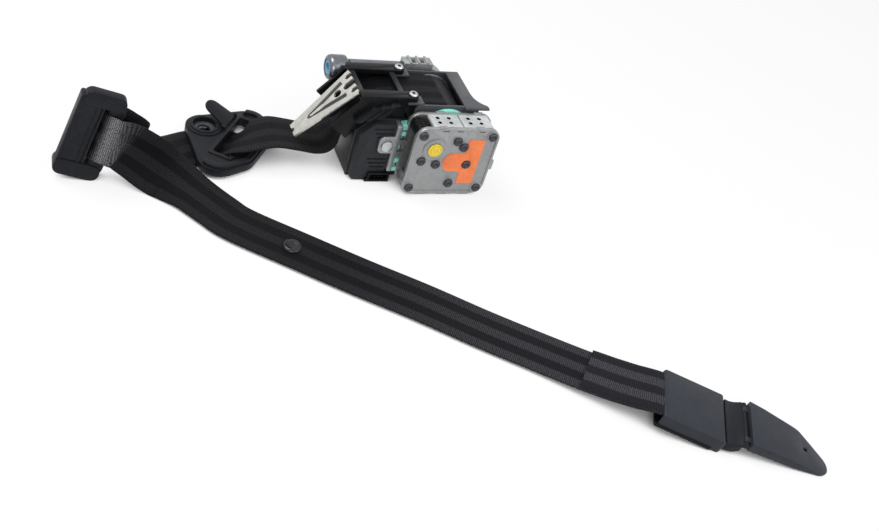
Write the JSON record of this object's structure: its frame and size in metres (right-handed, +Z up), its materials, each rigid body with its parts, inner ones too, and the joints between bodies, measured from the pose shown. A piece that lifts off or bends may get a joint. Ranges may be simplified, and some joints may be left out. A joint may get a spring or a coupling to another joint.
{
  "type": "seat belt retractor",
  "caption": "Motor-tensioned seat belt retractor with its belt, pillar loop, tongue and end anchor laid out.",
  "frame": {"origin": "on the floor under the middle of the laid-out set", "axes": "+X to the right of the picture along the set's length, +Y to the back, +Z up"},
  "size_m": [0.5672, 0.4769, 0.0891],
  "materials": {
    "black_steel": "satin black coating",
    "zinc_steel": "bright zinc plate",
    "steel": "ground steel",
    "dark_steel": "dark phosphate",
    "cast_aluminium": "die cast",
    "grey_moulding": "grey moulding",
    "pale_moulding": "pale grey moulding",
    "black_moulding": "fine grain",
    "mint_moulding": "mint moulding",
    "yellow_moulding": "yellow moulding",
    "blue_moulding": "blue moulding",
    "nylon": "natural nylon",
    "orange_label": "plain film",
    "brass": "machined",
    "webbing": "woven charcoal"
  },
  "bodies": {
    "retractor": {"frame": "black_steel", "shaft_bushes": "nylon", "clutch_housing": "mint_moulding", "gear_back_plate": "grey_moulding", "gear_front_plate": "grey_moulding", "corner_rivets": "dark_steel", "axle_heads": "dark_steel", "idler_axle": "steel", "bearing_cap": "yellow_moulding", "blank_label": "orange_label", "spacer_blocks": "pale_moulding", "ribbed_grommet": "black_moulding", "motor_can": "steel", "control_case": "black_moulding", "control_cover": "black_moulding", "connector_shroud": "black_moulding", "connector_pins": "brass", "box_bracket": "grey_moulding", "knurled_pin": "steel", "belt_guide": "black_moulding", "guide_screws": "steel", "mounting_leg": "zinc_steel", "generator_tube": "dark_steel", "generator_cap": "dark_steel", "igniter_socket": "blue_moulding", "rear_casting": "cast_aluminium", "spring_cover": "black_moulding", "mainspring": "steel", "pawl_pin": "steel", "sensor_housing": "black_moulding", "sensor_ball": "steel", "webbing": "webbing", "stop_button": "black_moulding"},
    "spool": {"spool": "cast_aluminium", "webbing_roll": "webbing", "torsion_bar": "steel", "clutch_hub": "steel", "lock_ratchet": "steel", "spring_arbor": "nylon"},
    "drive_wheel": {"drive_wheel": "brass"},
    "idler": {"idler_gear": "nylon"},
    "motor_rotor": {"motor_shaft": "steel", "motor_pinion": "brass"},
    "lock_pawl": {"lock_pawl": "steel"},
    "sensor_lever": {"sensor_lever": "nylon"},
    "tongue": {"tongue_plate": "steel", "tongue_grip": "black_moulding"},
    "pillar_loop": {"loop_plate": "steel", "loop_cover": "black_moulding"},
    "loop_flap": {"loop_flap": "black_moulding"},
    "anchor": {"anchor_plate": "steel", "anchor_sleeve": "black_moulding", "anchor_neck": "black_moulding"},
    "anchor_cap": {"anchor_cap": "black_moulding"}
  },
  "joints": [
    {"name": "spool_spin", "type": "hinge", "parent": "retractor", "child": "spool", "pos_m": [0.05884, 0.17845, 0.05206], "axis": [0, 1, 0], "continuous": true},
    {"name": "drive_spin", "type": "hinge", "parent": "retractor", "child": "drive_wheel", "pos_m": [0.05884, 0.13895, 0.05206], "axis": [0, 1, 0], "continuous": true},
    {"name": "idler_spin", "type": "hinge", "parent": "retractor", "child": "idler", "pos_m": [0.07795, 0.13395, 0.03563], "axis": [0, 1, 0], "continuous": true},
    {"name": "motor_spin", "type": "hinge", "parent": "retractor", "child": "motor_rotor", "pos_m": [0.066, 0.15845, 0.01344], "axis": [0, 1, 0], "continuous": true},
    {"name": "pawl_swing", "type": "hinge", "parent": "retractor", "child": "lock_pawl", "pos_m": [0.08384, 0.21045, 0.03906], "axis": [0, 1, 0], "range_deg": [0, 19.5], "stiffness_Nm_per_rad": 0.02},
    {"name": "sensor_swing", "type": "hinge", "parent": "retractor", "child": "sensor_lever", "pos_m": [0.08884, 0.21945, 0.01706], "axis": [0, 1, 0], "range_deg": [0, 10]},
    {"name": "tongue_swing", "type": "hinge", "parent": "retractor", "child": "tongue", "pos_m": [-0.24516, 0.14678, 0.04215], "axis": [0.2567, -0.0148, 0.9664], "range_deg": [-8, 8], "deforming": ["webbing"]},
    {"name": "loop_swivel", "type": "hinge", "parent": "retractor", "child": "pillar_loop", "pos_m": [-0.14666, 0.20695, 0.00846], "axis": [0, 0, 1], "range_deg": [-10, 10], "deforming": ["webbing"]},
    {"name": "flap_hinge", "type": "hinge", "parent": "pillar_loop", "child": "loop_flap", "pos_m": [-0.12339, 0.21141, 0.01326], "axis": [0.5736, 0.8192, 0], "range_deg": [-14, 70]},
    {"name": "anchor_lift", "type": "hinge", "parent": "retractor", "child": "anchor", "pos_m": [0.16783, -0.16095, 0.01313], "axis": [-0.4802, -0.8771, 0], "range_deg": [0, 35], "deforming": ["webbing"]},
    {"name": "cap_hinge", "type": "hinge", "parent": "anchor", "child": "anchor_cap", "pos_m": [0.21974, -0.18938, 0.01287], "axis": [-0.4802, -0.8771, 0], "range_deg": [0, 95]}
  ],
  "couplings": [
    {"joint": "idler_spin", "follows": "drive_spin", "ratio": -2.9375},
    {"joint": "motor_spin", "follows": "drive_spin", "ratio": 8.6289}
  ]
}
